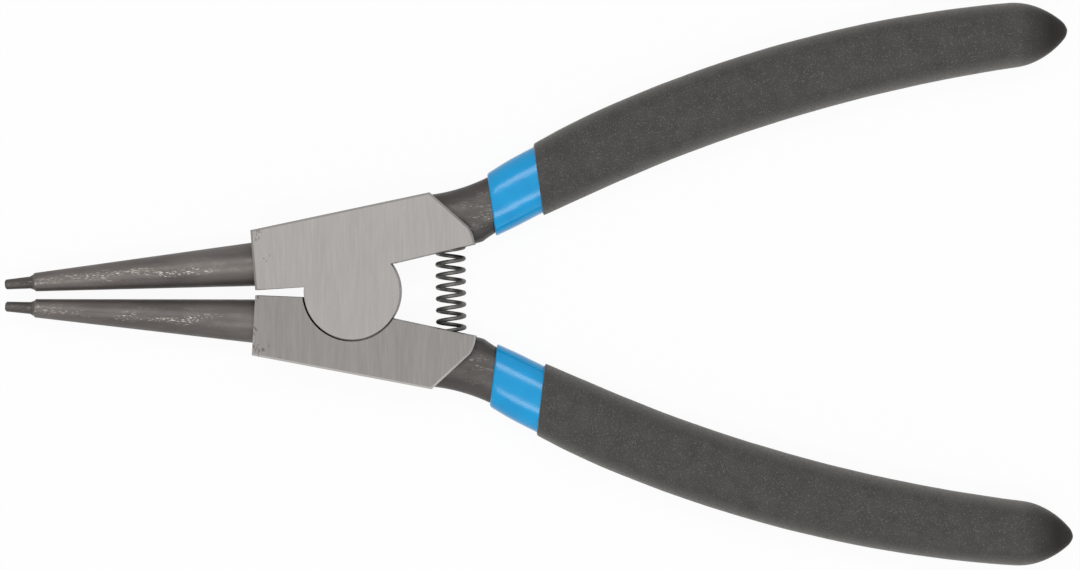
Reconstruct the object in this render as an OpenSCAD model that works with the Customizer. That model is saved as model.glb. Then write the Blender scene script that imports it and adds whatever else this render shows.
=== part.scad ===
// External circlip pliers with straight tips.
// Two forged halves are lapped at a riveted joint behind the jaws. Squeezing the handles
// spreads the tips, and a coil spring between the halves brings them together again.
// X runs along the tool towards the handles, Y across it, and Z through its thickness.
// The origin is on the rivet's axis, on the back face of the joint.
// The upper half (+Y) is drawn here; the lower half is the same forging turned over about X.

/* [Joint] */
// Thickness of the joint, back face to front face
plate_t = 11; // [9.5:0.5:13]
// Radius of the round eye by which each half laps over the other
eye_r = 8.05; // [7.5:0.05:9]
// Gap between an eye and the pocket that it turns in
eye_gap = 0.3; // [0.2:0.05:0.5]
// Gap between the two lapped faces
lap_gap = 0.1; // [0.05:0.05:0.2]
// Width of the broken edges around the joint plates
edge_break = 0.35; // [0.2:0.05:0.6]

/* [Plates] */
// Distance from the rivet to the front of the plates, along X at the jaw's axis
plate_front = 16.5; // [14:0.25:20]
// Half of the gap between the two plates at their front
plate_gap = 0.43; // [0.3:0.01:0.6]
// Height of the plate's front edge above the jaw's axis
front_rise = 5.7; // [5:0.05:7]
// Slope of the plate's outer edge
outer_slope = 11.3; // [9:0.1:14]
// Slope of the edge that faces the other half, in front of the eye
nose_slope = 3; // [0:0.5:4]
// Slope of the edge that faces the other half, behind the eye
heel_slope = 12.6; // [10:0.2:15]
// Distance from the rivet's axis to the line of that rear edge
heel_offset = 3.05; // [2.5:0.05:3.5]
// Radius of the rounded corner at the rear end of the plate
rear_r = 5.65; // [5:0.05:6.5]
// Middle of that corner, along X
rear_x = 15.05; // [14.5:0.05:15.5]
// Middle of that corner, along Y
rear_y = 7.45; // [7:0.05:8]
// Slope of the bevel from the outer edge down to that corner
bevel_slope = 42; // [38:1:46]
// How far the bevel cuts into the rounded corner
bevel_cut = 0.15; // [0.1:0.05:0.3]

/* [Rivet] */
// Diameter of the rivet's shank
rivet_d = 6; // [4:0.5:7]
// Diameter of the rivet's countersunk heads
rivet_head_d = 9; // [8:0.5:11]
// Depth of the countersunk heads
rivet_head_h = 1.2; // [0.8:0.1:2]
// Radial gap around the rivet in the half that turns on it
rivet_gap = 0.05; // [0.02:0.01:0.08]

/* [Jaws] */
// Height of the jaw's axis above the middle line, at the front of the plate
jaw_y = 4.82; // [4.5:0.02:5.6]
// Height of the jaw's axis above the middle line, at the end of the tip
tip_y = 1.85; // [1.5:0.05:2.5]
// Diameter of the jaw where it leaves the plate
jaw_base_d = 7.4; // [6:0.1:8.2]
// Diameter of the jaw at its nose
jaw_nose_d = 3.05; // [2.6:0.05:4]
// Length of the tapered jaw
jaw_len = 37.4; // [28:0.1:42]
// Length of the shoulder between the jaw and its tip
shoulder_len = 0.7; // [0.6:0.1:2]
// Diameter of the round tip that enters the circlip's eye
tip_d = 1.8; // [1.3:0.1:2.3]
// Length of the straight part of the tip
tip_len = 4.25; // [3.5:0.05:6]
// Bevel at the end of the tip
tip_bevel = 0.25; // [0.1:0.05:0.4]

/* [Handles] */
// Lean of the handles away from the middle line, which is also the slope of the coats' mouths
handle_lean = 7.5; // [5:0.5:10]
// Radius of the bow in each handle
handle_bow_r = 235; // [200:5:300]
// Where the bow runs parallel to the lean, along the handle
bow_along = 110.4; // [100:0.2:120]
// Height of the centre line at the rear end of the plate, across the handle
neck_across = 9.7; // [8.7:0.01:10.7]
// Length of the forged handle from the rivet, along its lean
handle_len = 124.4; // [110:0.1:140]
// Half width of the forged handle at its belly
belly_half_w = 4.65; // [4.2:0.05:5.2]
// Place of the belly, along the handle
belly_along = 66; // [55:1:78]
// Loss of half width from the belly to the mouth of the undercoat
neck_loss = 0.3; // [0.2:0.02:0.9]
// Loss of half width from the belly to the start of the rounded end
end_loss = 0.78; // [0.3:0.02:1.2]
// Half thickness of the forged handle
handle_half_t = 3.8; // [3.3:0.1:4.3]
// Length of the rounded end of the forged handle
handle_end = 8; // [6:0.5:12]
// How much the neck's half width has grown at the rear end of the plate
neck_flare = 0.55; // [0.3:0.05:0.9]
// Run behind the plate over which that growth fades out
neck_run = 5.5; // [4.5:0.5:7.5]

/* [Coats] */
// Thickness of the glossy undercoat
undercoat_t = 0.85; // [0.6:0.05:0.9]
// Share of the undercoat's thickness at its mouth
undercoat_mouth_share = 0.7; // [0.7:0.05:1]
// Run over which the undercoat grows to its full thickness
undercoat_ramp = 5; // [3:0.5:8]
// Bare neck between the plate and the mouth of the undercoat
bare_neck = 3.7; // [2.5:0.1:5.5]
// Thickness of the foam grip coat
grip_t = 0.8; // [0.6:0.05:1.3]
// Bare band of undercoat between its mouth and the grip
band_w = 8.4; // [5:0.1:14]
// Share of the grip's thickness at its mouth
grip_mouth_share = 0.65; // [0.6:0.05:0.9]
// Run over which the grip grows to its full thickness
grip_ramp = 12; // [6:1:20]
// Radius of the rolled lip at a coat's mouth
lip_r = 0.35; // [0.2:0.05:0.4]

/* [Spring] */
// Distance of the spring's axis from the rear end of the plate
spring_inset = 4.2; // [3.8:0.1:4.6]
// Outer diameter of the spring
coil_d = 5.2; // [4.6:0.1:5.8]
// Diameter of the spring's wire
wire_d = 0.7; // [0.6:0.05:1]
// Depth of the spring's seats below the edge that they open in
seat_depth = 2.7; // [2:0.1:3.5]
// Number of turns, with the closed turn at each end
spring_turns = 10.6; // [9:0.1:12]
// Turn of the whole spring about its own axis
spring_phase = 171; // [0:1:359]
// Radial gap between the spring and its seats
seat_gap = 0.3; // [0.2:0.05:0.4]
// Gap between each end of the spring and the floor of its seat
seat_float = 0.1; // [0.05:0.05:0.2]

/* [Hidden] */
$fn = 96;
mid_z = plate_t / 2;
over = plate_t / 10;
section_sides = 26;
section_power = 2.6;
end_power = 0.7;
end_flat = 0.96;
wire_sides = 8;
steps_per_turn = 12;
closed_pitch = wire_d * 1.06;

steel = [0.68, 0.67, 0.66];
undercoat_blue = [0.0, 0.62, 0.86];
grip_grey = [0.31, 0.31, 0.30];
spring_dark = [0.24, 0.24, 0.23];

// The jaw leans from its height at the plate to its height at the tip
jaw_angle = asin((jaw_y - tip_y) / (jaw_len + shoulder_len + tip_len));
jaw_normal = [-sin(jaw_angle), cos(jaw_angle)];
jaw_base = [-plate_front, jaw_y];

// Corners of the plate's front edge, which is square to the jaw
front_outer = jaw_base + front_rise * jaw_normal;
front_inner = jaw_base - (jaw_y - plate_gap) / jaw_normal.y * jaw_normal;

// The plate's long edges, and the bevel and rounded corner that end it at the rear
outer_dir = [cos(outer_slope), sin(outer_slope)];
heel_dir = [cos(heel_slope), sin(heel_slope)];
heel_foot = heel_offset * [-sin(heel_slope), cos(heel_slope)];
rear_mid = [rear_x, rear_y];
rear_end = rear_x + rear_r;
bevel_dir = [cos(bevel_slope), -sin(bevel_slope)];
bevel_normal = [sin(bevel_slope), cos(bevel_slope)];
bevel_foot = rear_mid + (rear_r - bevel_cut) * bevel_normal;

// Where a line crosses another, where it leaves the rounded corner, and where it passes a place along X
function crossing(p, u, q, v) = p + cross(q - p, v) / cross(u, v) * u;
function rear_hit(from, dir) =
    let (
        gap = from - rear_mid,
        half = gap * dir
    )
    from + (sqrt(half * half - gap * gap + rear_r * rear_r) - half) * dir;
function along_line(from, dir, x) = from + (x - from.x) / dir.x * dir;
outer_corner = crossing(front_outer, outer_dir, bevel_foot, bevel_dir);
bevel_end = rear_hit(bevel_foot, bevel_dir);
heel_corner = rear_hit(heel_foot, heel_dir);

// The handle's own frame: along its lean, across it, and through the thickness
function along(p) = p.x * cos(handle_lean) + p.y * sin(handle_lean);
function from_handle(p) = [
    p.x * cos(handle_lean) - p.y * sin(handle_lean),
    p.x * sin(handle_lean) + p.y * cos(handle_lean),
    mid_z + p.z
];

// How far across the handle an edge of the plate lies, from its slope and its distance from the rivet
function edge_across(h, slope, distance) =
    (distance + h * sin(slope - handle_lean)) / cos(slope - handle_lean);
outer_offset = front_outer * [-sin(outer_slope), cos(outer_slope)];

// Places along the handle
neck_h = along([rear_end, rear_y]);
undercoat_mouth = neck_h + bare_neck;
grip_mouth = undercoat_mouth + band_w;
end_start = handle_len - handle_end;
root_h = along(outer_corner) - edge_break;

// Stations at which the handle's sections are drawn
neck_steps = 6;
band_steps = 4;
grip_steps = 12;
end_steps = 6;
function stations(from, to, steps) = [for (i = [0 : steps - 1]) from + (to - from) * i / steps];
neck_stations = stations(root_h, undercoat_mouth, neck_steps);
band_stations = stations(undercoat_mouth, grip_mouth, band_steps);
grip_stations = concat(stations(grip_mouth, end_start, grip_steps), end_start);
end_shares = [for (i = [1 : end_steps]) end_flat * sin(90 * i / end_steps)];

// Centre line of the handle: a circular bow that starts from the neck
function bow_rise(h) = sqrt(pow(handle_bow_r, 2) - pow(h - bow_along, 2));
function bow(h) = neck_across + bow_rise(h) - bow_rise(neck_h);
function bow_cos(h) = bow_rise(h) / handle_bow_r;

// Half width of the forged handle, square to its centre line
function half_w(h) =
    belly_half_w
    - (h < belly_along
        ? neck_loss * pow((belly_along - h) / (belly_along - undercoat_mouth), 2)
        : end_loss * pow((h - belly_along) / (end_start - belly_along), 2))
    + neck_flare * pow(max(0, neck_h + neck_run - h) / neck_run, 2);

// Share of the full section that is left at a station in the rounded end
function end_share(h, coat) =
    h <= end_start ? 1 : pow(1 - pow((h - end_start) / (handle_end + coat), 2), end_power);

// Edges of the handle across its lean. The neck's root stays inside the plate.
neck_inset = edge_break / 3;
function top_edge(h, reach) =
    h < along(outer_corner)
        ? min(bow(h) + reach, edge_across(h, outer_slope, outer_offset) - neck_inset)
        : bow(h) + reach;
function low_edge(h, reach) =
    h < undercoat_mouth
        ? max(bow(h) - reach, edge_across(h, heel_slope, heel_offset) + neck_inset)
        : bow(h) - reach;

// One section of the handle, as a ring of points, grown outwards by a coat
function rounded(v) = sign(v) * pow(abs(v), 2 / section_power);
function section(h, coat) =
    let (
        share = end_share(h, coat),
        reach = (half_w(h) + coat) * share / bow_cos(h),
        top = top_edge(h, reach),
        low = low_edge(h, reach),
        thick = (handle_half_t + coat) * share
    )
    [for (i = [0 : section_sides - 1])
        let (a = 360 * i / section_sides)
        from_handle([
            h,
            (top + low) / 2 + (top - low) / 2 * rounded(cos(a)),
            thick * rounded(sin(a))
        ])];

// The rings of the rounded end under a coat of a given thickness
function end_rings(coat) =
    [for (s = end_shares) section(end_start + (handle_end + coat) * s, coat)];

// Share of a coat's thickness at a station, from the share at its mouth up to all of it
function coat_share(h, mouth, mouth_share, ramp) =
    mouth_share + (1 - mouth_share) * sin(90 * min(1, (h - mouth) / ramp));

// Thickness of the undercoat alone, and of both coats together
function undercoat_at(h) =
    undercoat_t * coat_share(h, undercoat_mouth, undercoat_mouth_share, undercoat_ramp);
function both_coats(h) =
    undercoat_t + grip_t * coat_share(h, grip_mouth, grip_mouth_share, grip_ramp);

// The rolled lip of a coat at its mouth, a quarter round out to the coat's outside
function lip(mouth, outside) =
    [for (a = [0 : 30 : 90])
        section(mouth + lip_r * (1 - cos(a)), outside - lip_r * (1 - sin(a)))];

// Rings of the three surfaces: the forging, the undercoat and the grip
forging_root = [for (h = neck_stations) section(h, 0)];
forging_coated = concat(
    [for (h = band_stations) section(h, 0)],
    [for (h = grip_stations) section(h, 0)],
    end_rings(0)
);
undercoat_band = concat(
    lip(undercoat_mouth, undercoat_at(undercoat_mouth)),
    [for (i = [1 : band_steps - 1]) section(band_stations[i], undercoat_at(band_stations[i]))]
);
undercoat_gripped = concat(
    [for (h = grip_stations) section(h, undercoat_t)],
    end_rings(undercoat_t)
);
grip_outside = concat(
    lip(grip_mouth, both_coats(grip_mouth)),
    [for (i = [1 : grip_steps]) section(grip_stations[i], both_coats(grip_stations[i]))],
    end_rings(undercoat_t + grip_t)
);

// Triangles of the bands between rings of points that follow each other
function bands(rings, sides, first, inward) =
    [for (r = [0 : rings - 2]) for (s = [0 : sides - 1])
        let (
            a = first + r * sides + s,
            b = first + r * sides + (s + 1) % sides
        )
        each inward
            ? [[a, b, a + sides], [b, b + sides, a + sides]]
            : [[a, a + sides, b], [b, a + sides, b + sides]]];
function ring_from(first, sides) = [for (s = [0 : sides - 1]) first + s];
function ring_back(first, sides) = [for (s = [sides - 1 : -1 : 0]) first + s];

// A solid lofted through rings
module lofted(rings) {
    sides = len(rings[0]);
    last = (len(rings) - 1) * sides;
    polyhedron(
        points = [for (r = rings) each r],
        faces = concat(bands(len(rings), sides, 0, false), [ring_from(0, sides), ring_back(last, sides)])
    );
}

// A sock between two sets of rings: open at its mouth and closed at its far end
module sock(outside, inside) {
    sides = len(outside[0]);
    inner = len(outside) * sides;
    inner_last = inner + (len(inside) - 1) * sides;
    mouth = [for (s = [0 : sides - 1])
        let (t = (s + 1) % sides)
        each [[s, t, inner + s], [t, inner + t, inner + s]]];
    polyhedron(
        points = [for (r = concat(outside, inside)) each r],
        faces = concat(
            bands(len(outside), sides, 0, false),
            bands(len(inside), sides, inner, true),
            mouth,
            [ring_back(inner - sides, sides), ring_from(inner_last, sides)]
        )
    );
}

// Turns a piece of the upper half over, about the middle line, to serve the lower half
module turned_over() {
    translate([0, 0, plate_t]) rotate([180, 0, 0]) children();
}

// Outline of the joint plate with its eye
module plate_outline() {
    room = plate_front + rear_end;
    intersection() {
        polygon([
            front_inner,
            front_outer,
            outer_corner,
            crossing(heel_foot, heel_dir, bevel_foot, bevel_dir),
            heel_foot,
            along_line(front_inner, [cos(nose_slope), sin(nose_slope)], 0)
        ]);
        union() {
            translate(rear_mid) circle(rear_r);
            polygon([
                [-room, -room],
                [rear_x, -room],
                rear_mid,
                rear_mid + room * bevel_normal,
                [-room, room]
            ]);
        }
    }
    circle(eye_r);
}

// Places a cutter of the back face's edges there, and its mirror image on the front face
module both_faces() {
    children();
    translate([0, 0, plate_t]) mirror([0, 0, 1]) children();
}

// Section of a cutter that breaks an edge lying at the origin, with the plate to its left and above it
module edge_cutter() {
    polygon(edge_break * [[-2, -1], [1, -1], [1, 2]]);
}

// Breaks the straight edge from p to q, with the plate to its right
module broken_edge(p, q) {
    run = q - p;
    both_faces()
        translate(p)
            rotate([90, 0, 90 + atan2(run.y, run.x)])
                translate([0, 0, -2 * edge_break])
                    linear_extrude(norm(run) + 4 * edge_break) edge_cutter();
}

// Breaks the edge of the plate's rounded rear corner
module broken_rear() {
    low = heel_corner - rear_mid;
    high = bevel_end - rear_mid;
    spare = asin(2 * edge_break / rear_r);
    start = atan2(low.y, low.x) - spare;
    both_faces()
        translate(rear_mid)
            rotate([0, 0, start])
                rotate_extrude(angle = atan2(high.y, high.x) + spare - start)
                    translate([rear_r, 0]) edge_cutter();
}

// Tapered jaw with its shoulder and round tip, turned about the jaw's axis
module jaw() {
    base_r = jaw_base_d / 2;
    nose_r = jaw_nose_d / 2;
    tip_r = tip_d / 2;
    shoulder_end = jaw_len + shoulder_len;
    tip_end = shoulder_end + tip_len;
    translate([jaw_base.x, jaw_base.y, mid_z])
        rotate([0, -90, jaw_angle])
            rotate_extrude()
                polygon([
                    [0, -base_r],
                    [base_r, -base_r],
                    [base_r, 0],
                    [nose_r, jaw_len],
                    [(nose_r + tip_r) / 2, jaw_len + shoulder_len / 3],
                    [tip_r, shoulder_end],
                    [tip_r, tip_end - tip_bevel],
                    [tip_r - tip_bevel, tip_end],
                    [0, tip_end]
                ]);
}

// The rivet's form, grown by a radial gap, to draw the rivet or to cut its bore
module rivet_form(gap) {
    shank_r = rivet_d / 2 + gap;
    head_r = rivet_head_d / 2 + gap;
    rotate_extrude()
        polygon([
            [0, 0],
            [head_r, 0],
            [shank_r, rivet_head_h],
            [shank_r, plate_t - rivet_head_h],
            [head_r, plate_t],
            [0, plate_t]
        ]);
}

// The spring stands between the floors of two blind seats
spring_x = rear_end - spring_inset;
seat_floor = along_line(heel_foot, heel_dir, spring_x).y + seat_depth;
spring_len = 2 * (seat_floor - seat_float);

module spring_seat() {
    translate([spring_x, seat_floor, mid_z])
        rotate([90, 0, 0]) cylinder(d = coil_d + 2 * seat_gap, h = seat_floor);
}

// One forged half: plate and eye, jaw and handle
module forging(bore_gap) {
    difference() {
        union() {
            difference() {
                linear_extrude(plate_t) plate_outline();
                broken_edge(front_outer, outer_corner);
                broken_edge(front_inner, front_outer);
                broken_edge(outer_corner, bevel_end);
                broken_rear();
            }
            jaw();
            lofted(concat(forging_root, forging_coated));
        }
        translate([0, 0, -over]) cylinder(r = eye_r + eye_gap, h = over + mid_z + lap_gap / 2);
        rivet_form(bore_gap);
        spring_seat();
    }
}

module upper_lever() {
    color(steel) forging(0);
}

module lower_lever() {
    color(steel) turned_over() forging(rivet_gap);
}

module pivot_rivet() {
    color(steel) rivet_form(0);
}

// Height along the spring after a number of turns, with one closed turn at each end
open_turns = spring_turns - 2;
open_pitch = (spring_len - wire_d - 2 * closed_pitch) / open_turns;
function spring_rise(turn) =
    closed_pitch * min(turn, 1)
    + open_pitch * max(0, min(turn - 1, open_turns))
    + closed_pitch * max(0, turn - 1 - open_turns);

// One ring of the spring's wire, square to the wire
coil_r = (coil_d - wire_d) / 2;
function wire_ring(turn) =
    let (
        a = 360 * (turn - spring_turns / 2) + spring_phase,
        out = [sin(a), 0, cos(a)],
        around = [cos(a), 0, -sin(a)],
        pitch = turn < 1 || turn > 1 + open_turns ? closed_pitch : open_pitch,
        lead = atan2(pitch, 2 * PI * coil_r),
        up = [0, cos(lead), 0] - sin(lead) * around,
        middle = [spring_x, (wire_d - spring_len) / 2 + spring_rise(turn), mid_z] + coil_r * out
    )
    [for (i = [0 : wire_sides - 1])
        let (b = 360 * i / wire_sides)
        middle + wire_d / 2 * (cos(b) * out - sin(b) * up)];

module return_spring() {
    steps = ceil(spring_turns * steps_per_turn);
    color(spring_dark) lofted([for (i = [0 : steps]) wire_ring(spring_turns * i / steps)]);
}

// Glossy first coat, a sock over the whole forged handle
module upper_undercoat() {
    color(undercoat_blue) sock(concat(undercoat_band, undercoat_gripped), forging_coated);
}

module lower_undercoat() {
    turned_over() upper_undercoat();
}

// Foam second coat, a sock over the first that leaves a band of it bare
module upper_grip() {
    color(grip_grey) sock(grip_outside, undercoat_gripped);
}

module lower_grip() {
    turned_over() upper_grip();
}

upper_lever();
lower_lever();
pivot_rivet();
return_spring();
upper_undercoat();
lower_undercoat();
upper_grip();
lower_grip();
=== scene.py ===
import math

import bmesh
import bpy
from mathutils import Matrix, Vector, noise


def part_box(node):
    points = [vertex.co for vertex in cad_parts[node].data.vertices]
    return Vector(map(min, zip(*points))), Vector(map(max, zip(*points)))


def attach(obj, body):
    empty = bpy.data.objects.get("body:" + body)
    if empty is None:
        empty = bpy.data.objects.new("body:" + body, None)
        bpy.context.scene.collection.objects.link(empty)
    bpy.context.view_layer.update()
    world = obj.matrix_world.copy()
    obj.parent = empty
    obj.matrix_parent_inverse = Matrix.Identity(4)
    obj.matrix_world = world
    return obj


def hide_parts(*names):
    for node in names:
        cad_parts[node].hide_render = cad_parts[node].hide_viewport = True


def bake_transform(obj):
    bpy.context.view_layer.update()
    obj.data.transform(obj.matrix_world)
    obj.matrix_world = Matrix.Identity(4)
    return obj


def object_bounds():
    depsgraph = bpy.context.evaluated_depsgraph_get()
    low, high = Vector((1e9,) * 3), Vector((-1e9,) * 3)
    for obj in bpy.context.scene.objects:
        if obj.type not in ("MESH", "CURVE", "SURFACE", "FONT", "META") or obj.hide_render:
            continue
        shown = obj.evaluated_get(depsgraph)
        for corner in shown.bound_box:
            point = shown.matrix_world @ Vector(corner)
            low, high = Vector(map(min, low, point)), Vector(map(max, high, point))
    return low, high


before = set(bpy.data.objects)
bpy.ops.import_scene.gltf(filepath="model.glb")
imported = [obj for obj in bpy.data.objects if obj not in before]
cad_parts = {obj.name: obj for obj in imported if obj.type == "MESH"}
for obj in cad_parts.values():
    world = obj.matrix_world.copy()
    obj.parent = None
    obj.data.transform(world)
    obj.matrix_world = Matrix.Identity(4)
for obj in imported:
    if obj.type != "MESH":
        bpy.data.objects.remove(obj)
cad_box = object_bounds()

# External circlip pliers: two forged halves lapped at a riveted joint, with a return spring between
# them and dipped handles. Sizes are in millimetres, in the frame of the solids: X runs to the handles,
# Y across the tool and Z through its thickness. The upper half is drawn, and turned over for the lower.
MM = 0.001

# Joint plate and eye
PLATE_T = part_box("pivot_rivet")[1].z / MM
MID_Z = PLATE_T / 2
EYE_R = 8.05
EYE_GAP = 0.3
LAP_GAP = 0.1
EDGE_BREAK = 0.35
RIM_BREAK = 0.06
PLATE_FRONT = 16.5
PLATE_GAP = 0.43
FRONT_RISE = 5.7
OUTER_SLOPE = math.radians(11.3)
NOSE_SLOPE = math.radians(3)
HEEL_SLOPE = math.radians(12.6)
HEEL_OFFSET = 3.05
REAR_R = 5.65
REAR_MID = Vector((15.05, 7.45))
REAR_END = REAR_MID.x + REAR_R
BEVEL_SLOPE = math.radians(42)
BEVEL_CUT = 0.15
ARC_STEP = math.radians(2.5)

# Rivet
RIVET_R = 3
RIVET_HEAD_R = 4.5
RIVET_HEAD_H = 1.2
RIVET_SEAM = 0.002

# Jaw and tip
JAW_Y = 4.82
TIP_Y = 1.85
JAW_BASE_R = 3.7
JAW_NOSE_R = 1.525
JAW_LEN = 37.4
SHOULDER_LEN = 0.7
TIP_ROOT_R = 1.02
TIP_END_R = 0.84
TIP_LEN = 4.25
TIP_BEVEL = 0.25
NOSE_ROUND = 0.18
JAW_SIDES = 72
JAW_ANGLE = math.asin((JAW_Y - TIP_Y) / (JAW_LEN + SHOULDER_LEN + TIP_LEN))

# Handle: along its lean, across it and through the thickness
LEAN = math.radians(7.5)
BOW_R = 235
BOW_ALONG = 110.4
NECK_ACROSS = 9.7
HANDLE_LEN = 124.4
BELLY_HALF_W = 4.65
BELLY_ALONG = 66
NECK_LOSS = 0.3
END_LOSS = 0.78
HANDLE_HALF_T = 3.8
HANDLE_END = 8
NECK_INSET = EDGE_BREAK / 3
NECK_FLARE = 0.55
NECK_RUN = 5.5
SECTION_POWER = 2.6
END_POWER = 0.82
END_FLAT = 0.96
END_ROUND = 0.9

# Coats
UNDERCOAT_T = 0.85
UNDERCOAT_MOUTH_SHARE = 0.7
UNDERCOAT_RAMP = 5
BARE_NECK = 3.7
GRIP_T = 0.8
BAND_W = 8.4
GRIP_MOUTH_SHARE = 0.65
GRIP_RAMP = 12
LIP_R = 0.35

# Spring
SPRING_INSET = 4.2
COIL_D = 5.2
WIRE_D = 0.7
SEAT_DEPTH = 2.7
SPRING_TURNS = 10.6
SPRING_PHASE = math.radians(171)
SEAT_GAP = 0.3
SEAT_FLOAT = 0.1
CLOSED_PITCH = WIRE_D * 1.06
WIRE_SIDES = 12
STEPS_PER_TURN = 36
WIRE_END_SHARE = 0.7

# Fineness of the meshes. OVER is how far a cut or fine steps run past an edge.
OVER = 1
AXIS_R = 0.001
ROUND_SIDES = 144
TANG_SIDES = 64
COAT_SIDES = 96
LIP_STEPS = 5
NECK_STEP = 0.7
BAND_STEP = 0.4
GRIP_STEP = 0.5
COVERED_STEP = 4
COVERED_END_STEPS = 8
GRIP_END_STEPS = 18
END_SPREAD = 0.3
STRAIGHT = 0.001
WELD = 0.002
SHARP_ANGLE = math.radians(28)
# Least rise of a normal on the ground faces with their broken edges, and on the flat faces alone
GROUND_TILT = 0.6
FLAT_TILT = 0.99

# Unevenness of the foam
DENT_SIZE = 5
DENT_DEPTH = 0.07
GRAIN_SIZE = 0.8
GRAIN_DEPTH = 0.03

# In the finishes below, a stretch draws a noise out along X, Y and Z. A span, a reach or a wear gives two
# values and, where there are four, what the two become. Colours are as seen on a screen, and a pair of them
# runs from dark to light.
NOISE_SPAN = (0.3, 0.7)

# Ground steel: marks and broader bands of the wheel across the tool, edges, and nicks at the plates'
# fronts. The lower plate's darker greys are painted shade. The edge colours are painted light: painted
# shade on the upper half's broken edges, and a painted highlight on the lower half's.
MARK_SIZE = 0.3
MARK_STRETCH = (1, 16, 1)
MARK_DEPTH = 0.001
BAND_SIZE = 2.2
BAND_STRETCH = (1, 20, 1)
TONE_SPAN = (0.7, 1.3)
FLAT_SPAN = (0.97, 0.998)
GROUND_ROUGHNESS = (0.19, 0.215)
EDGE_ROUGHNESS = 0.5
NICK_SIZE = 0.4
NICK_STRETCH = (0.7, 2, 1)
NICK_SPAN = (0.56, 0.62, 0, 0.8)
NICK_PATCH = 2.4
NICK_PATCH_SPAN = (0.58, 0.64)
NICK_REACH = (-15, -13, 1, 0)
NICK_COLOUR = (92, 89, 86)
UPPER_GROUND = ((158, 154, 151), (162, 158, 155))
UPPER_EDGE_SHADE = (150, 147, 144)
LOWER_GROUND_SHADED = ((134, 131, 128), (142, 139, 136))
LOWER_EDGE_HIGHLIGHT = (172, 168, 165)

# Dark oxide: lumps and clouds, and flecks of bare steel in patches. The flecks are partly wear and partly a
# painted highlight, with a painted glint near the nose. Also where along X these and the soot lie.
LUMP_SIZE = 1.1
LUMP_STRETCH = (2, 1, 1)
JAW_LUMPS = 0.04
NECK_LUMPS = 0.14
CLOUD_SIZE = 3
CLOUD_STRETCH = (4, 1, 1)
FLECK_SIZE = 0.2
FLECK_STRETCH = (3, 1, 1)
FLECK_SPAN = (0.54, 0.66)
PATCH_SIZE = 1
PATCH_STRETCH = (10, 1, 1)
PATCH_SPAN = (0.48, 0.6)
CREST_SPAN = (0.82, 0.97)
JAW_WEAR_AND_GLINT = (-27, -20, 1, 0)
NECK_WEAR_AND_GLINT = (18, 20, 0, 0.4)
NOSE_WEAR_AND_GLINT = (-53, -46, 0.85, 0)
TIP_WEAR_AND_GLINT = (-55, -53, 0.3, 1)
TIP_SOOT = (-54.2, -53.8, 0.6, 0)
OXIDE_SPECULAR = 0.25
OXIDE_METAL = (0.4, 0.8)
OXIDE_ROUGHNESS = (0.36, 0.5)
JAW_OXIDE = ((86, 81, 79), (110, 104, 101))
NECK_OXIDE = ((66, 63, 61), (83, 79, 77))
BARE_STEEL_AND_GLINT = (166, 160, 155)
SOOT = (62, 61, 58)

# Vinyl of the undercoats
RIPPLE_SIZE = 3
RIPPLE_STRETCH = (3, 1, 1)
RIPPLE_DEPTH = 0.05
VINYL_CLOUD = 4
VINYL_ROUGHNESS = 0.2
VINYL_SPECULAR = 0.38
VINYL_BLUE = ((0, 150, 212), (0, 160, 222))

# Foam of the grips: pores with pale specks in them, more of them on the sides as a painted rim highlight,
# and painted shade on the end
PORE_SIZE = 0.22
PORE_DEPTH = 0.05
FOAM_CLOUD = 2.5
SPECK_SPAN = (0.56, 0.7, 0, 0.6)
RIM_LIGHT_SPAN = (0.35, 0.85)
RIM_LIGHT_GRIT_SPAN = (0.32, 0.55, 0.2, 1)
END_SHADE_REACH = (112.5, 118, 0, 0.9)
FOAM_ROUGHNESS = 0.9
FOAM_SPECULAR = 0.2
FOAM_SHEEN = 0.35
FOAM_SHEEN_ROUGHNESS = 0.3
FOAM_GREY = ((71, 69, 67), (80, 78, 76))
GRIT_AND_RIM_LIGHT_COLOUR = (122, 120, 116)
END_SHADE_COLOUR = (36, 34, 32)

# Spring wire
WIRE_MARK = 0.4
WIRE_METAL = 0.5
WIRE_ROUGHNESS = (0.38, 0.5)
WIRE_GREY = ((78, 77, 74), (110, 108, 104))

# Light, in metres and watts, and the floor, which lies FLOOR_DROP millimetres below the tool
FILL_STRENGTH = 0.34
FLOOR_HALF = 4
FLOOR_DROP = 0.05
FLOOR_WHITE = 0.9
FLOOR_GLOW = 0.94
LAMP_X = 0.04
STRIP_SIZE = (0.7, 0.2)
STRIP_Y = 0.31
STRIP_Z = 0.85
STRIP_POWER = 2.7
CARD_SIZE = (1.4, 0.3)
CARD_AT = (0.28, -0.6, 0.13)
CARD_POWER = 0.7

# View of the photograph, in its pixels and in millimetres
PHOTO_W = 1080
PHOTO_H = 570
PIVOT_PX_X = 353.2
PIVOT_PX_Y = 291.6
PX_PER_MM = 5.922
VIEW_ROLL = math.radians(0.65)
VIEW_DISTANCE = 700
SENSOR_W = 36


# Plain geometry

def direction(angle):
    return Vector((math.cos(angle), math.sin(angle)))


def arc(middle, radius, start, end):
    """Points along an arc, both ends included, in steps of about ARC_STEP."""
    steps = max(2, math.ceil(abs(end - start) / ARC_STEP))
    return [middle + radius * direction(start + (end - start) * i / steps) for i in range(steps + 1)]


def heading(vector):
    return math.atan2(vector.y, vector.x)


def circle_hit(start, along, middle, radius):
    """Where a line leaves a circle."""
    gap = start - middle
    half = gap.dot(along)
    return start + (math.sqrt(half * half - gap.length_squared + radius * radius) - half) * along


def line_crossing(p, u, q, v):
    """Where the line through p along u meets the line through q along v."""
    return p + u * ((q - p).cross(v) / u.cross(v))


def stations(start, end, spacing):
    steps = max(1, math.ceil((end - start) / spacing))
    return [start + (end - start) * i / steps for i in range(steps)]


# Meshes

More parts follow.
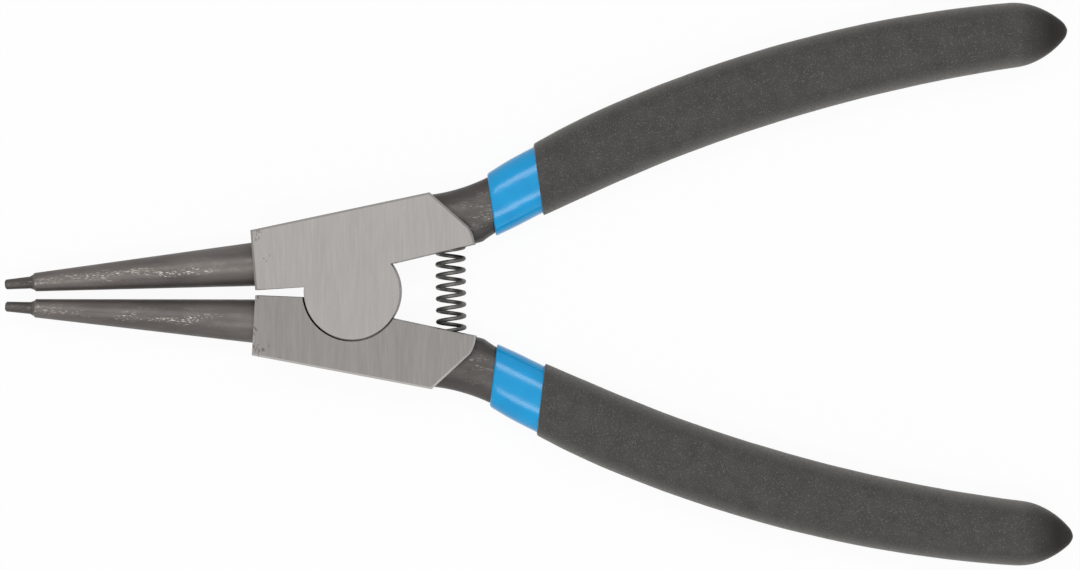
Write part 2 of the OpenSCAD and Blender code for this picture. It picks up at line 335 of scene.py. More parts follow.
def mesh_object(name, points, faces):
    mesh = bpy.data.meshes.new(name)
    mesh.from_pydata([tuple(p) for p in points], [], faces)
    obj = bpy.data.objects.new(name, mesh)
    bpy.context.scene.collection.objects.link(obj)
    return obj


def band_faces(rings, sides, first=0, inward=False):
    """Quads between rings of points that follow each other."""
    faces = []
    for r in range(rings - 1):
        for s in range(sides):
            a = first + r * sides + s
            b = first + r * sides + (s + 1) % sides
            quad = [a, b, b + sides, a + sides]
            faces.append(quad[::-1] if inward else quad)
    return faces


def lofted(name, rings):
    """A closed solid through rings of points."""
    sides = len(rings[0])
    last = (len(rings) - 1) * sides
    faces = band_faces(len(rings), sides)
    faces.append(list(reversed(range(sides))))
    faces.append([last + s for s in range(sides)])
    return mesh_object(name, [p for ring in rings for p in ring], faces)


def sock(name, outside, inside):
    """A sleeve between two sets of rings, open at its mouth and closed at its far end."""
    sides = len(outside[0])
    inner = len(outside) * sides
    inner_last = inner + (len(inside) - 1) * sides
    faces = band_faces(len(outside), sides) + band_faces(len(inside), sides, inner, True)
    for s in range(sides):
        t = (s + 1) % sides
        faces.append([s, inner + s, inner + t, t])
    faces.append([inner - sides + s for s in range(sides)])
    faces.append([inner_last + s for s in reversed(range(sides))])
    return mesh_object(name, [p for ring in outside + inside for p in ring], faces)


def revolved(name, profile, sides):
    """A solid turned about Z from (radius, height) points, from one end of the axis to the other."""
    turns = [2 * math.pi * s / sides for s in range(sides)]
    rings = [[Vector((r * math.cos(a), r * math.sin(a), z)) for a in turns] for r, z in profile]
    return lofted(name, rings)


def combine(target, tool, operation):
    """Unites the target with a tool, or cuts the tool out of it, and deletes the tool."""
    change = target.modifiers.new("combine", "BOOLEAN")
    change.operation = operation
    change.solver = "EXACT"
    change.object = tool
    evaluated = target.evaluated_get(bpy.context.evaluated_depsgraph_get())
    mesh = bpy.data.meshes.new_from_object(evaluated)
    target.modifiers.clear()
    target.data = mesh
    bpy.data.objects.remove(tool)


def clean(obj):
    """Welds the doubled points and takes out the slivers that cutting leaves."""
    form = bmesh.new()
    form.from_mesh(obj.data)
    bmesh.ops.remove_doubles(form, verts=form.verts, dist=WELD)
    bmesh.ops.dissolve_degenerate(form, edges=form.edges, dist=WELD)
    bmesh.ops.triangulate(form, faces=form.faces, quad_method="BEAUTY", ngon_method="BEAUTY")
    form.to_mesh(obj.data)
    form.free()


def turn_over(obj):
    """Turns a piece of the upper half over about the middle line, to serve the lower half."""
    obj.data.transform(Matrix.Translation((0, 0, PLATE_T)) @ Matrix.Rotation(math.pi, 4, "X"))


def finish_mesh(obj):
    """Brings a mesh to metres, with smooth shading between its sharp edges."""
    obj.data.transform(Matrix.Scale(MM, 4))
    obj.data.shade_smooth()
    obj.data.set_sharp_from_angle(angle=SHARP_ANGLE)


# Joint plate

def plate_outline():
    """Corners of the plate with its eye, anticlockwise, and the width of the break on each edge."""
    normal = Vector((-math.sin(JAW_ANGLE), math.cos(JAW_ANGLE)))
    base = Vector((-PLATE_FRONT, JAW_Y))
    front_outer = base + FRONT_RISE * normal
    front_inner = base - (JAW_Y - PLATE_GAP) / normal.y * normal
    heel_foot = HEEL_OFFSET * direction(HEEL_SLOPE + math.pi / 2)
    bevel_foot = REAR_MID + (REAR_R - BEVEL_CUT) * direction(math.pi / 2 - BEVEL_SLOPE)
    bevel = direction(-BEVEL_SLOPE)
    outer_corner = line_crossing(front_outer, direction(OUTER_SLOPE), bevel_foot, bevel)
    bevel_end = circle_hit(bevel_foot, bevel, REAR_MID, REAR_R)
    heel_corner = circle_hit(heel_foot, direction(HEEL_SLOPE), REAR_MID, REAR_R)
    centre = Vector((0, 0))
    nose = direction(NOSE_SLOPE)
    nose_hit = circle_hit(front_inner + 2 * PLATE_FRONT * nose, -nose, centre, EYE_R)
    heel_hit = circle_hit(heel_foot, direction(HEEL_SLOPE), centre, EYE_R)
    eye = arc(centre, EYE_R, heading(nose_hit), heading(heel_hit) + 2 * math.pi)
    rear = arc(REAR_MID, REAR_R, heading(heel_corner - REAR_MID), heading(bevel_end - REAR_MID))
    points = [front_inner] + eye + rear + [outer_corner, front_outer]
    breaks = [RIM_BREAK] * (1 + len(eye)) + [EDGE_BREAK] * (len(rear) + 2)
    return points, breaks


def inset_outline(points, breaks, share):
    """The outline with each edge moved inwards by a share of its break."""
    moved = []
    for i, p in enumerate(points):
        before = (p - points[i - 1]).normalized()
        after = (points[(i + 1) % len(points)] - p).normalized()
        inward_before = Vector((-before.y, before.x)) * breaks[i - 1] * share
        inward_after = Vector((-after.y, after.x)) * breaks[i] * share
        if abs(before.cross(after)) < STRAIGHT:
            moved.append(p + inward_after)
        else:
            moved.append(line_crossing(p + inward_before, before, p + inward_after, after))
    return moved


def plate(name):
    """The plate as a solid, with the edges of both faces broken."""
    points, breaks = plate_outline()
    rings = []
    for inset, rise in ((1, 0), (0, 1)):
        outline = inset_outline(points, breaks, inset)
        heights = [rise * max(breaks[i], breaks[i - 1]) for i in range(len(points))]
        rings.append([Vector((p.x, p.y, z)) for p, z in zip(outline, heights)])
    top = [[Vector((p.x, p.y, PLATE_T - p.z)) for p in ring] for ring in reversed(rings)]
    return lofted(name, rings + top)


# Handle sections, which the forging and its two coats share

def from_handle(h, n, z):
    return Vector((
        h * math.cos(LEAN) - n * math.sin(LEAN),
        h * math.sin(LEAN) + n * math.cos(LEAN),
        MID_Z + z,
    ))


NECK_H = REAR_END * math.cos(LEAN) + REAR_MID.y * math.sin(LEAN)
UNDERCOAT_MOUTH = NECK_H + BARE_NECK
GRIP_MOUTH = UNDERCOAT_MOUTH + BAND_W
END_START = HANDLE_LEN - HANDLE_END


def bow_rise(h):
    return math.sqrt(BOW_R ** 2 - (h - BOW_ALONG) ** 2)


def bow(h):
    """Centre line of the handle, a circular bow that starts from the neck."""
    return NECK_ACROSS + bow_rise(h) - bow_rise(NECK_H)


def half_width(h):
    if h < BELLY_ALONG:
        loss = NECK_LOSS * ((BELLY_ALONG - h) / (BELLY_ALONG - UNDERCOAT_MOUTH)) ** 2
    else:
        loss = END_LOSS * ((h - BELLY_ALONG) / (END_START - BELLY_ALONG)) ** 2
    flare = NECK_FLARE * (max(0, NECK_H + NECK_RUN - h) / NECK_RUN) ** 2
    return BELLY_HALF_W - loss + flare


def end_share(h, coat):
    """Share of the full section that is left in the rounded end."""
    run = max(0, h - END_START) / (HANDLE_END + coat)
    turn_in = max(0, run - END_ROUND) / (END_FLAT - END_ROUND)
    return (1 - run * run) ** END_POWER * math.sqrt(1 - turn_in * turn_in)


def edge_across(h, slope, distance):
    """How far across the handle an edge of the plate lies."""
    return (distance + h * math.sin(slope - LEAN)) / math.cos(slope - LEAN)


def rounded(value):
    return math.copysign(abs(value) ** (2 / SECTION_POWER), value)


def section(h, coat, sides):
    """One ring of points around the handle, grown outwards by a coat."""
    share = end_share(h, coat)
    reach = (half_width(h) + coat) * share * BOW_R / bow_rise(h)
    thick = (HANDLE_HALF_T + coat) * share
    high, low = bow(h) + reach, bow(h) - reach
    if h < OUTER_H:
        high = min(high, edge_across(h, OUTER_SLOPE, OUTER_OFFSET) - NECK_INSET)
    if h < UNDERCOAT_MOUTH:
        low = max(low, edge_across(h, HEEL_SLOPE, HEEL_OFFSET) + NECK_INSET)
    ring = []
    for s in range(sides):
        a = 2 * math.pi * s / sides
        across = (high + low) / 2 + (high - low) / 2 * rounded(math.cos(a))
        ring.append(from_handle(h, across, thick * rounded(math.sin(a))))
    return ring


def end_stations(coat, steps):
    """Places along the rounded end, close together where it turns in."""
    turns = [math.pi / 2 * (i + 1) / (steps + END_SPREAD) for i in range(steps)]
    return [END_START + (HANDLE_END + coat) * END_FLAT * math.sin(turn) for turn in turns]


def covered_stations(start, coat):
    """Places along a surface that a coat covers, and along its rounded end."""
    return stations(start, END_START, COVERED_STEP) + [END_START] + end_stations(coat, COVERED_END_STEPS)


PLATE_POINTS, _ = plate_outline()
OUTER_OFFSET = PLATE_POINTS[-1].dot(direction(OUTER_SLOPE + math.pi / 2))
OUTER_H = PLATE_POINTS[-2].dot(direction(LEAN))
ROOT_H = OUTER_H - EDGE_BREAK


# Forged half

def jaw(name):
    """Tapered jaw with its shoulder and round tip, which tapers a little too."""
    shoulder = JAW_LEN + SHOULDER_LEN
    tip_end = shoulder + TIP_LEN
    profile = [
        (AXIS_R, -JAW_BASE_R),
        (JAW_BASE_R, -JAW_BASE_R),
        (JAW_BASE_R, 0),
        (JAW_NOSE_R + NOSE_ROUND / 4, JAW_LEN - NOSE_ROUND),
        (JAW_NOSE_R - NOSE_ROUND / 3, JAW_LEN - NOSE_ROUND / 4),
        (JAW_NOSE_R - NOSE_ROUND, JAW_LEN + NOSE_ROUND / 4),
        ((JAW_NOSE_R + 2 * TIP_ROOT_R) / 3, JAW_LEN + SHOULDER_LEN / 2),
        (TIP_ROOT_R, shoulder),
        (TIP_END_R, tip_end - TIP_BEVEL),
        (TIP_END_R - TIP_BEVEL, tip_end),
        (AXIS_R, tip_end),
    ]
    made = revolved(name, profile, JAW_SIDES)
    made.data.transform(
        Matrix.Translation((-PLATE_FRONT, JAW_Y, MID_Z))
        @ Matrix.Rotation(JAW_ANGLE, 4, "Z")
        @ Matrix.Rotation(-math.pi / 2, 4, "Y")
    )
    return made


def tang(name):
    """The forged handle from its root in the plate to its rounded end."""
    covered = UNDERCOAT_MOUTH + OVER
    places = stations(ROOT_H, covered, NECK_STEP) + covered_stations(covered, 0)
    return lofted(name, [section(h, 0, TANG_SIDES) for h in places])


def rivet_profile(grown):
    """The rivet's outline between its two flush heads, grown by a gap."""
    return [
        (RIVET_HEAD_R + grown, 0),
        (RIVET_R + grown, RIVET_HEAD_H),
        (RIVET_R + grown, PLATE_T - RIVET_HEAD_H),
        (RIVET_HEAD_R + grown, PLATE_T),
    ]


def bore(name):
    """What is cut from a half for the rivet."""
    outer = RIVET_HEAD_R + RIVET_SEAM
    low, high = -OVER, PLATE_T + OVER
    profile = [(AXIS_R, low), (outer, low)] + rivet_profile(RIVET_SEAM) + [(outer, high), (AXIS_R, high)]
    return revolved(name, profile, ROUND_SIDES)


def pocket(name):
    """What is cut from the back of the plate for the other half's eye, with its rim broken."""
    radius = EYE_R + EYE_GAP
    floor = MID_Z + LAP_GAP / 2
    flare = radius + RIM_BREAK + OVER
    profile = [(AXIS_R, -OVER), (flare, -OVER), (radius, RIM_BREAK), (radius, floor), (AXIS_R, floor)]
    return revolved(name, profile, ROUND_SIDES)


def spring_axis():
    """Place of the spring's axis along X, and of the seats' floors along Y."""
    x = REAR_END - SPRING_INSET
    heel_foot = HEEL_OFFSET * direction(HEEL_SLOPE + math.pi / 2)
    return x, heel_foot.y + (x - heel_foot.x) * math.tan(HEEL_SLOPE) + SEAT_DEPTH


def spring_seat(name):
    x, floor = spring_axis()
    radius = COIL_D / 2 + SEAT_GAP
    made = revolved(name, [(AXIS_R, 0), (radius, 0), (radius, floor), (AXIS_R, floor)], ROUND_SIDES)
    made.data.transform(Matrix.Translation((x, 0, MID_Z)) @ Matrix.Rotation(-math.pi / 2, 4, "X"))
    return made


def forging(name):
    """One half in steel: plate with eye, jaw and tang, less the pocket, the bore and the spring's seat."""
    made = plate(name)
    combine(made, jaw("jaw"), "UNION")
    combine(made, tang("tang"), "UNION")
    combine(made, pocket("pocket"), "DIFFERENCE")
    combine(made, bore("bore"), "DIFFERENCE")
    combine(made, spring_seat("seat"), "DIFFERENCE")
    clean(made)
    return made


def dress_forging(obj, jaw_oxide, ground, neck_oxide):
    """Grinds the plate's faces and broken edges, and gives the necks' oxide to what lies behind the eye."""
    for made in (jaw_oxide, ground, neck_oxide):
        obj.data.materials.append(made)
    lap = MID_Z * MM
    skin = EDGE_BREAK * MM
    for face in obj.data.polygons:
        near_face = min(face.center.z, PLATE_T * MM - face.center.z) < skin
        near_lap = abs(face.center.z - lap) < LAP_GAP * MM
        if abs(face.normal.z) > GROUND_TILT and (near_face or near_lap):
            face.material_index = 1
            face.use_smooth = abs(face.normal.z) < FLAT_TILT
        elif min(obj.data.vertices[i].co.x for i in face.vertices) > EYE_R * MM:
            face.material_index = 2


# Coats

def coat_share(h, mouth, mouth_share, ramp):
    """Share of a coat's thickness, from the share at its mouth up to all of it."""
    return mouth_share + (1 - mouth_share) * math.sin(math.pi / 2 * min(1, (h - mouth) / ramp))


def undercoat_at(h):
    return UNDERCOAT_T * coat_share(h, UNDERCOAT_MOUTH, UNDERCOAT_MOUTH_SHARE, UNDERCOAT_RAMP)


def both_coats(h):
    """Thickness of both coats together."""
    return UNDERCOAT_T + GRIP_T * coat_share(h, GRIP_MOUTH, GRIP_MOUTH_SHARE, GRIP_RAMP)


def lip(mouth, outside):
    """The rolled lip of a coat at its mouth, a quarter round out to the coat's outside."""
    angles = [math.pi / 2 * i / LIP_STEPS for i in range(LIP_STEPS + 1)]
    return [section(mouth + LIP_R * (1 - math.cos(a)), outside - LIP_R * (1 - math.sin(a)), COAT_SIDES)
            for a in angles]


def undercoat(name):
    """Glossy first coat: a sock over the whole tang."""
    bare = stations(UNDERCOAT_MOUTH + LIP_R, GRIP_MOUTH, BAND_STEP)[1:]
    gripped = covered_stations(GRIP_MOUTH, UNDERCOAT_T)
    outside = lip(UNDERCOAT_MOUTH, undercoat_at(UNDERCOAT_MOUTH))
    outside += [section(h, undercoat_at(h), COAT_SIDES) for h in bare]
    outside += [section(h, UNDERCOAT_T, COAT_SIDES) for h in gripped]
    inside = covered_stations(UNDERCOAT_MOUTH, 0)
    return sock(name, outside, [section(h, 0, COAT_SIDES) for h in inside])


def grip(name):
    """Foam second coat: a sock over the first, with its skin slightly uneven."""
    full = UNDERCOAT_T + GRIP_T
    places = stations(GRIP_MOUTH + LIP_R, END_START, GRIP_STEP)[1:] + [END_START]
    outside = lip(GRIP_MOUTH, both_coats(GRIP_MOUTH))
    outside += [section(h, both_coats(h), COAT_SIDES) for h in places]
    outside += [section(h, full, COAT_SIDES) for h in end_stations(full, GRIP_END_STEPS)]
    inside = covered_stations(GRIP_MOUTH, UNDERCOAT_T)
    made = sock(name, outside, [section(h, UNDERCOAT_T, COAT_SIDES) for h in inside])
    sink_skin(made, len(outside) * COAT_SIDES)
    return made


def sink_skin(obj, count):
    """Sinks the first points of a mesh along their normals, in broad dents and a fine grain."""
    normals = [vertex.normal.copy() for vertex in obj.data.vertices]
    for vertex, normal in zip(obj.data.vertices[:count], normals):
        dents = 0.5 + 0.5 * noise.noise(vertex.co / DENT_SIZE)
        grain = 0.5 + 0.5 * noise.noise(vertex.co / GRAIN_SIZE)
        vertex.co -= normal * (DENT_DEPTH * dents + GRAIN_DEPTH * grain)


# Spring and rivet

def spring(name):
    """The spring's wire, with one closed turn at each end."""
    x, floor = spring_axis()
    length = 2 * (floor - SEAT_FLOAT)
    open_turns = SPRING_TURNS - 2
    open_pitch = (length - WIRE_D - 2 * CLOSED_PITCH) / open_turns
    coil_r = (COIL_D - WIRE_D) / 2

    def ring(turn, wire_r):
        a = 2 * math.pi * (turn - SPRING_TURNS / 2) + SPRING_PHASE
        out = Vector((math.sin(a), 0, math.cos(a)))
        around = Vector((math.cos(a), 0, -math.sin(a)))
        opened = min(max(turn - 1, 0), open_turns)
        rise = CLOSED_PITCH * (turn - opened) + open_pitch * opened
        pitch = open_pitch if 0 < opened < open_turns else CLOSED_PITCH
        lead = math.atan2(pitch, 2 * math.pi * coil_r)
        up = Vector((0, math.cos(lead), 0)) - math.sin(lead) * around
        middle = Vector((x, (WIRE_D - length) / 2 + rise, MID_Z)) + coil_r * out
        angles = [2 * math.pi * s / WIRE_SIDES for s in range(WIRE_SIDES)]
        return [middle + wire_r * (math.cos(b) * out - math.sin(b) * up) for b in angles]

    steps = math.ceil(SPRING_TURNS * STEPS_PER_TURN)
    wire_r = WIRE_D / 2
    rings = [ring(SPRING_TURNS * i / steps, wire_r) for i in range(steps + 1)]
    burr = wire_r * WIRE_END_SHARE
    return lofted(name, [ring(0, burr)] + rings[1:-1] + [ring(SPRING_TURNS, burr)])


def rivet(name):
    """The rivet, with a hairline round its flush heads."""
    profile = [(AXIS_R, 0)] + rivet_profile(-RIVET_SEAM) + [(AXIS_R, PLATE_T)]
    return revolved(name, profile, ROUND_SIDES)


# Finishes

def linear(red, green, blue):
    """A colour as seen on a screen, 0 to 255, as the shader's linear values."""
    def channel(value):
        share = value / 255
        return share / 12.92 if share <= 0.04045 else ((share + 0.055) / 1.055) ** 2.4
    return (channel(red), channel(green), channel(blue), 1)


def add(tree, kind, inputs, **settings):
    """A shader node with its settings, and its inputs set to values or joined to other outputs."""
    made = tree.nodes.new(kind)
    for name, value in settings.items():
        setattr(made, name, value)
    for name, value in inputs.items():
        if isinstance(value, bpy.types.NodeSocket):
            tree.links.new(value, made.inputs[name])
        else:
            made.inputs[name].default_value = value
    return made


def millimetres(tree, stretch=(1, 1, 1)):
    """The piece's own coordinates in millimetres, each divided by its stretch."""
    place = add(tree, "ShaderNodeTexCoord", {}).outputs["Object"]
    scale = [1 / MM / s for s in stretch]
    return add(tree, "ShaderNodeMapping", {"Vector": place, "Scale": scale}).outputs["Vector"]


def grain(tree, size, stretch=(1, 1, 1), detail=2):
    """Noise of about a size in millimetres, drawn out along the axes by stretch."""
    inputs = {"Vector": millimetres(tree, stretch), "Scale": 1 / size, "Detail": detail}
    return add(tree, "ShaderNodeTexNoise", inputs).outputs["Fac"]


def remap(tree, value, low, high, to_low=0, to_high=1):
    """A value carried from one span to another, and held at the ends."""
    inputs = {"Value": value, "From Min": low, "From Max": high, "To Min": to_low, "To Max": to_high}
    return add(tree, "ShaderNodeMapRange", inputs).outputs["Result"]


def blend_colours(tree, factor, colours):
    """The colours between a dark and a light one."""
    ramp = add(tree, "ShaderNodeValToRGB", {"Fac": factor})
    for element, colour in zip(ramp.color_ramp.elements, colours):
        element.color = linear(*colour)
    return ramp.outputs["Color"]


def bump(tree, height, depth):
    """A surface normal from heights of 0 to 1, for a relief of a depth in millimetres."""
    inputs = {"Height": height, "Distance": depth * MM, "Strength": 1.0}
    return add(tree, "ShaderNodeBump", inputs).outputs["Normal"]


def finish(name, **values):
    """A new material with its shader's uniform values, and the tree to add to."""
    made = bpy.data.materials.new(name)
    made.use_nodes = True
    shader = made.node_tree.nodes["Principled BSDF"]
    for key, value in values.items():
        shader.inputs[key.replace("_", " ")].default_value = value
    return made, made.node_tree, shader


def feed(tree, shader, **sockets):
    for key, value in sockets.items():
        tree.links.new(value, shader.inputs[key.replace("_", " ")])


def both(tree, first, second, operation="MULTIPLY"):
    return add(tree, "ShaderNodeMath", {0: first, 1: second}, operation=operation).outputs["Value"]


def facing_out(tree, low, high):
    """Rises from nought to one as a surface turns to the front or back of the tool."""
    normal = add(tree, "ShaderNodeTexCoord", {}).outputs["Normal"]
    rise = add(tree, "ShaderNodeSeparateXYZ", {"Vector": normal}).outputs["Z"]
    size = add(tree, "ShaderNodeMath", {0: rise}, operation="ABSOLUTE").outputs["Value"]
    return remap(tree, size, low, high)


def along_tool(tree, low, high, to_low, to_high):
    """A value that changes from one place along X to another, in millimetres."""
    x = add(tree, "ShaderNodeSeparateXYZ", {"Vector": millimetres(tree)}).outputs["X"]
    return remap(tree, x, low, high, to_low, to_high)


def mixed(tree, factor, first, second):
    """One colour over another. The second is one that is seen on a screen."""
    inputs = {"Factor": factor, "A": first, "B": linear(*second)}
    return add(tree, "ShaderNodeMix", inputs, data_type="RGBA").outputs["Result"]


def ground_steel(name, colours, edge):
    """Surface-ground steel, with wheel marks across the tool, rougher broken edges in a painted colour
    (painted shade on the upper half, a painted highlight on the lower), and a few nicks in front.
    """
    made, tree, shader = finish(name, Metallic=1.0)
    marks = grain(tree, MARK_SIZE, MARK_STRETCH, detail=3)
    bands = grain(tree, BAND_SIZE, BAND_STRETCH, detail=1)
    tone = remap(tree, both(tree, marks, bands, "ADD"), *TONE_SPAN)
    nicks = remap(tree, grain(tree, NICK_SIZE, NICK_STRETCH), *NICK_SPAN)
    patches = remap(tree, grain(tree, NICK_PATCH, detail=0), *NICK_PATCH_SPAN)
    nicked = both(tree, nicks, both(tree, patches, along_tool(tree, *NICK_REACH)))
    # The broken edges take the edge colour, which is painted light: painted shade on the upper half and a
    # painted highlight on the lower.
    edges = remap(tree, facing_out(tree, *FLAT_SPAN), 0, 1, 1, 0)
    ground = mixed(tree, edges, blend_colours(tree, tone, colours), edge)
    polish = remap(tree, marks, *NOISE_SPAN, *GROUND_ROUGHNESS)
    feed(tree, shader,
         Base_Color=mixed(tree, nicked, ground, NICK_COLOUR),
         Roughness=both(tree, polish, remap(tree, edges, 0, 1, 0, EDGE_ROUGHNESS), "MAXIMUM"),
         Normal=bump(tree, marks, MARK_DEPTH))
    return made


def dark_oxide(name, colours, lump_depth, worn_and_glinting):
    """Dark oxide on a rough forging, bare in flecks along its crests, partly from wear and partly as a
    painted highlight and glint, with sooty tips.
    """
    made, tree, shader = finish(name, Specular_IOR_Level=OXIDE_SPECULAR)
    lumps = grain(tree, LUMP_SIZE, LUMP_STRETCH, detail=4)
    clouds = remap(tree, grain(tree, CLOUD_SIZE, CLOUD_STRETCH, detail=3), *NOISE_SPAN)
    flecks = remap(tree, grain(tree, FLECK_SIZE, FLECK_STRETCH, detail=3), *FLECK_SPAN)
    patches = remap(tree, grain(tree, PATCH_SIZE, PATCH_STRETCH, detail=1), *PATCH_SPAN)
    patches = both(tree, patches, along_tool(tree, *NOSE_WEAR_AND_GLINT), "MAXIMUM")
    crests = both(tree, facing_out(tree, *CREST_SPAN), along_tool(tree, *worn_and_glinting))
    crests = both(tree, crests, along_tool(tree, *TIP_WEAR_AND_GLINT))
    # The bare flecks on the crests are partly wear and partly a painted highlight, strongest near the nose
    # as a painted glint.
    rubbed_and_glints = both(tree, both(tree, flecks, patches), crests)
    oxide = mixed(tree, along_tool(tree, *TIP_SOOT), blend_colours(tree, clouds, colours), SOOT)
    feed(tree, shader,
         Base_Color=mixed(tree, rubbed_and_glints, oxide, BARE_STEEL_AND_GLINT),
         Metallic=remap(tree, rubbed_and_glints, 0, 1, *OXIDE_METAL),
         Roughness=remap(tree, lumps, *NOISE_SPAN, *OXIDE_ROUGHNESS),
         Normal=bump(tree, lumps, lump_depth))
    return made


def vinyl(name):
    """Glossy dipped vinyl with a faint ripple."""
    made, tree, shader = finish(name, Roughness=VINYL_ROUGHNESS, Specular_IOR_Level=VINYL_SPECULAR)
    ripple = grain(tree, RIPPLE_SIZE, RIPPLE_STRETCH)
    tone = remap(tree, grain(tree, VINYL_CLOUD), *NOISE_SPAN)
    feed(tree, shader,
         Base_Color=blend_colours(tree, tone, VINYL_BLUE),
         Normal=bump(tree, ripple, RIPPLE_DEPTH))
    return made


def foam(name):
    """Matt foamed vinyl with pale specks in its pores, more of them on the sides as a painted rim
    highlight, and painted shade darkening the end.
    """
    made, tree, shader = finish(name, Roughness=FOAM_ROUGHNESS, Specular_IOR_Level=FOAM_SPECULAR,
                                Sheen_Weight=FOAM_SHEEN, Sheen_Roughness=FOAM_SHEEN_ROUGHNESS)
    pores = grain(tree, PORE_SIZE)
    clouds = remap(tree, grain(tree, FOAM_CLOUD, detail=3), *NOISE_SPAN)
    # More pale specks on the sides make a painted rim highlight, standing in for light grazing the sides.
    sides = remap(tree, facing_out(tree, *RIM_LIGHT_SPAN), 0, 1, 1, 0)
    rim_light_grit = both(tree, remap(tree, pores, *RIM_LIGHT_GRIT_SPAN), sides)
    grit_and_rim_light = both(tree, remap(tree, pores, *SPECK_SPAN), rim_light_grit, "MAXIMUM")
    speckled = mixed(tree, grit_and_rim_light, blend_colours(tree, clouds, FOAM_GREY), GRIT_AND_RIM_LIGHT_COLOUR)
    # The rounded end of the grip is darkened as painted shade.
    feed(tree, shader,
         Base_Color=mixed(tree, along_tool(tree, *END_SHADE_REACH), speckled, END_SHADE_COLOUR),
         Normal=bump(tree, pores, PORE_DEPTH))
    return made


def spring_steel(name):
    """Dark oiled spring wire."""
    made, tree, shader = finish(name, Metallic=WIRE_METAL)
    marks = grain(tree, WIRE_MARK, detail=3)
    feed(tree, shader,
         Base_Color=blend_colours(tree, marks, WIRE_GREY),
         Roughness=remap(tree, marks, *NOISE_SPAN, *WIRE_ROUGHNESS))
    return made


# Stage

def seen_directly(tree):
    """One for rays from the camera, a mirror or glass, and nought for the rays that light the object."""
    rays = add(tree, "ShaderNodeLightPath", {}).outputs
    either = both(tree, rays["Is Camera Ray"], rays["Is Glossy Ray"], "MAXIMUM")
    return both(tree, either, rays["Is Transmission Ray"], "MAXIMUM")


def white_world():
    world = bpy.data.worlds.new("studio")
    world.use_nodes = True
    tree = world.node_tree
    background = tree.nodes["Background"]
    background.inputs["Color"].default_value = (1, 1, 1, 1)
    strength = remap(tree, seen_directly(tree), 0, 1, FILL_STRENGTH, 1)
    tree.links.new(strength, background.inputs["Strength"])
    bpy.context.scene.world = world


def white_floor():
    """A white floor that keeps the object's shadow, lifted to white where the camera sees it."""
    half = FLOOR_HALF / MM
    corners = [(-half, -half), (half, -half), (half, half), (-half, half)]
    floor = mesh_object("floor", [Vector((x, y, -FLOOR_DROP)) for x, y in corners], [[0, 1, 2, 3]])
    floor.data.transform(Matrix.Scale(MM, 4))
    white = (FLOOR_WHITE, FLOOR_WHITE, FLOOR_WHITE, 1)
    made, tree, shader = finish("floor_white", Base_Color=white, Roughness=1.0)
    glow = add(tree, "ShaderNodeEmission", {"Color": (1, 1, 1, 1), "Strength": 1.0}).outputs["Emission"]
    share = remap(tree, seen_directly(tree), 0, 1, 0, FLOOR_GLOW)
    surface = add(tree, "ShaderNodeMixShader", {"Fac": share, 1: shader.outputs["BSDF"], 2: glow})
    tree.links.new(surface.outputs["Shader"], tree.nodes["Material Output"].inputs["Surface"])
    floor.data.materials.append(made)


def softbox(name, size, place, power):
    """A softbox that is turned to the middle of the tool."""
    data = bpy.data.lights.new(name, "AREA")
    data.shape = "RECTANGLE"
    data.size, data.size_y = size
    data.energy = power
    lamp = bpy.data.objects.new(name, data)
    lamp.location = place
    middle = (Vector(cad_box[0]) + Vector(cad_box[1])) / 2
    lamp.rotation_euler = (middle - lamp.location).to_track_quat("-Z", "Y").to_euler()
    bpy.context.scene.collection.objects.link(lamp)


def photo_camera():
    """Looks straight down on the tool, placed and rolled as the photograph was taken."""
    data = bpy.data.cameras.new("camera")
    data.sensor_width = SENSOR_W
    data.lens = SENSOR_W * VIEW_DISTANCE * PX_PER_MM / PHOTO_W
    camera = bpy.data.objects.new("camera", data)
    offset = Vector(((PHOTO_W / 2 - PIVOT_PX_X) / PX_PER_MM, (PIVOT_PX_Y - PHOTO_H / 2) / PX_PER_MM, 0))
    offset.rotate(Matrix.Rotation(-VIEW_ROLL, 3, "Z"))
    camera.location = (offset + Vector((0, 0, MID_Z + VIEW_DISTANCE))) * MM
    camera.rotation_euler = (0, 0, -VIEW_ROLL)
    bpy.context.scene.collection.objects.link(camera)
    bpy.context.scene.camera = camera


# Assembly

def settle(obj, body, node):
    """Lets a finished piece stand for a solid and move with its body."""
    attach(obj, body)
    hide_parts(node)


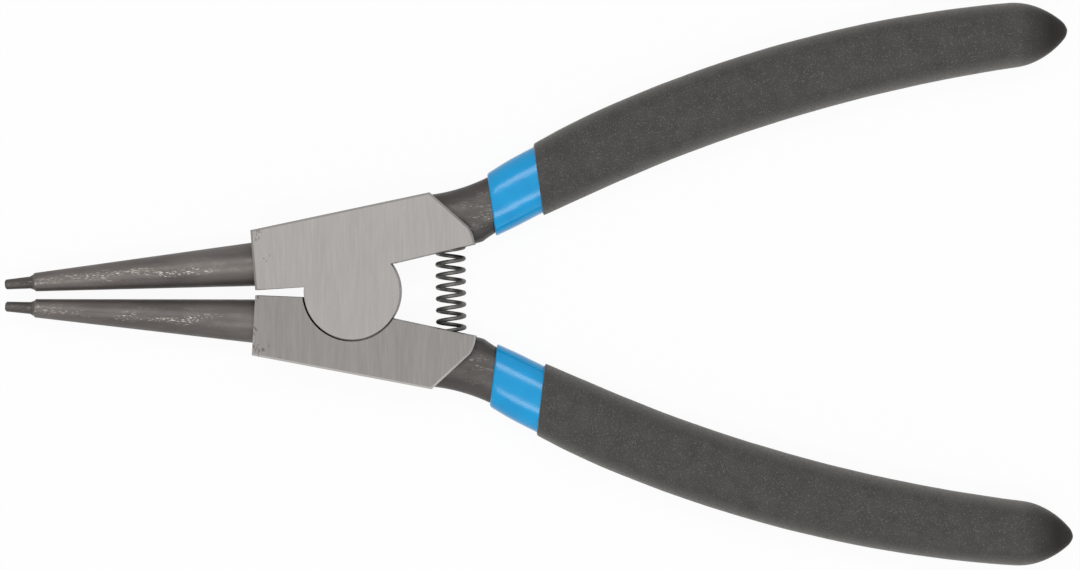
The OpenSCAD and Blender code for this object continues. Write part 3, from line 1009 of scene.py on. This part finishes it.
def half(side, finishes):
    """One half of the tool: steel, undercoat and grip."""
    jaw_oxide, ground, neck_oxide, blue, grey = finishes
    steel = forging(f"{side}_lever_steel")
    coat = undercoat(f"{side}_undercoat_vinyl")
    sleeve = grip(f"{side}_grip_foam")
    for obj in (steel, coat, sleeve):
        if side == "lower":
            turn_over(obj)
        finish_mesh(obj)
    dress_forging(steel, jaw_oxide, ground, neck_oxide)
    coat.data.materials.append(blue)
    sleeve.data.materials.append(grey)
    settle(steel, f"{side}_half", f"{side}_lever")
    settle(coat, f"{side}_half", f"{side}_undercoat")
    settle(sleeve, f"{side}_half", f"{side}_grip")


# The lower half's steel has painted shade on its faces and a painted highlight on its edges; the upper
# half's has painted shade on its edges.
steel_with_edge_shade = ground_steel("ground_steel_upper", UPPER_GROUND, UPPER_EDGE_SHADE)
shaded_steel_with_edge_highlight = ground_steel("ground_steel_lower", LOWER_GROUND_SHADED, LOWER_EDGE_HIGHLIGHT)
jaw_oxide = dark_oxide("jaw_oxide", JAW_OXIDE, JAW_LUMPS, JAW_WEAR_AND_GLINT)
neck_oxide = dark_oxide("neck_oxide", NECK_OXIDE, NECK_LUMPS, NECK_WEAR_AND_GLINT)
blue = vinyl("blue_vinyl")
grey = foam("grey_foam")
half("upper", (jaw_oxide, steel_with_edge_shade, neck_oxide, blue, grey))
half("lower", (jaw_oxide, shaded_steel_with_edge_highlight, neck_oxide, blue, grey))

pin = rivet("pivot_rivet_steel")
finish_mesh(pin)
pin.data.materials.append(steel_with_edge_shade)
settle(pin, "upper_half", "pivot_rivet")

coil = spring("return_spring_wire")
finish_mesh(coil)
coil.data.materials.append(spring_steel("spring_steel"))
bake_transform(coil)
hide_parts("return_spring")

white_world()
white_floor()
softbox("strip_far", STRIP_SIZE, (LAMP_X, STRIP_Y, STRIP_Z), STRIP_POWER)
softbox("strip_near", STRIP_SIZE, (LAMP_X, -STRIP_Y, STRIP_Z), STRIP_POWER)
softbox("card", CARD_SIZE, CARD_AT, CARD_POWER)
photo_camera()
bpy.context.scene.view_settings.view_transform = "Standard"
